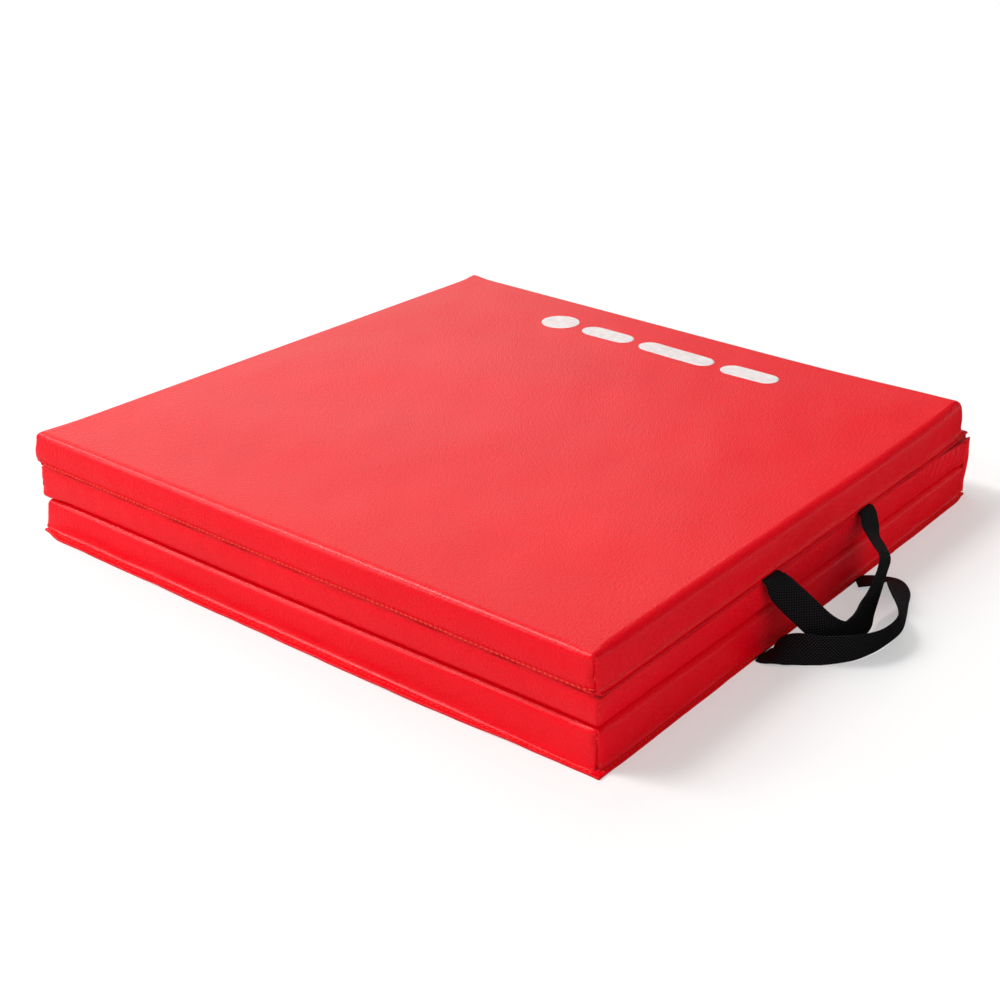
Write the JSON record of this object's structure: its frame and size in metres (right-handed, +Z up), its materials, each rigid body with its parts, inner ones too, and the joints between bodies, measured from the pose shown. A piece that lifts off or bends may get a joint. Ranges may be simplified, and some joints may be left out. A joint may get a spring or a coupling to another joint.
{
  "type": "folding gym mat",
  "caption": "Padded exercise mat of three vinyl-covered foam panels, hinged along opposite edges and folded in a Z into a square stack, with woven carrying loops on one side.",
  "frame": {"origin": "on the floor, under the middle of the folded stack's panels", "axes": "+Z up through the stack; X across the folds, +X towards the lower fold and -X towards the upper fold; -Y towards the carrying handles"},
  "size_m": [0.613, 0.6925, 0.0912],
  "materials": {
    "vinyl_red": "satin grained vinyl-coated fabric",
    "vinyl_base": "matte fine-grained vinyl",
    "foam": "matte closed-cell foam",
    "thread_red": "bonded sewing thread",
    "webbing_black": "woven polypropylene webbing",
    "thread_black": "bonded sewing thread",
    "print_white": "flat screen print"
  },
  "bodies": {
    "bottom_panel": {"bottom_foam_core": "foam", "bottom_face_cover": "vinyl_red", "bottom_base_sheet": "vinyl_base", "bottom_welt_stitching": "thread_red", "bottom_corner_stitching": "thread_red", "lower_fold_wall_bottom": "vinyl_red", "lower_fold_end_flanges_bottom": "vinyl_red", "lower_handle_tabs": "webbing_black", "lower_handle_bartacks": "thread_black"},
    "middle_panel": {"middle_foam_core": "foam", "middle_face_cover": "vinyl_red", "middle_base_sheet": "vinyl_base", "middle_welt_stitching": "thread_red", "middle_corner_stitching": "thread_red", "lower_fold_wall_middle": "vinyl_red", "lower_fold_end_flanges_middle": "vinyl_red", "upper_fold_strip_middle": "vinyl_red"},
    "top_panel": {"top_foam_core": "foam", "top_face_cover": "vinyl_red", "top_base_sheet": "vinyl_base", "top_welt_stitching": "thread_red", "top_corner_stitching": "thread_red", "upper_fold_strip_top": "vinyl_red", "upper_fold_stitching": "thread_red", "upper_handle_tabs": "webbing_black", "upper_handle_bartacks": "thread_black", "printed_mark": "print_white"},
    "upper_handle": {"upper_handle_strap": "webbing_black"},
    "lower_handle": {"lower_handle_strap": "webbing_black"}
  },
  "joints": [
    {"name": "fold_lower", "type": "hinge", "parent": "bottom_panel", "child": "middle_panel", "pos_m": [0.303, 0, 0.03025], "axis": [0, 1, 0], "range_deg": [0, 180]},
    {"name": "fold_upper", "type": "hinge", "parent": "middle_panel", "child": "top_panel", "pos_m": [-0.3016, 0, 0.06075], "axis": [0, -1, 0], "range_deg": [0, 180]},
    {"name": "upper_handle_swing", "type": "hinge", "parent": "top_panel", "child": "upper_handle", "pos_m": [0, -0.3024, 0.06215], "axis": [-1, 0, 0], "range_deg": [0, 105]},
    {"name": "lower_handle_swing", "type": "hinge", "parent": "bottom_panel", "child": "lower_handle", "pos_m": [0, -0.3112, 0.00115], "axis": [-1, 0, 0], "range_deg": [-80, 0]}
  ]
}
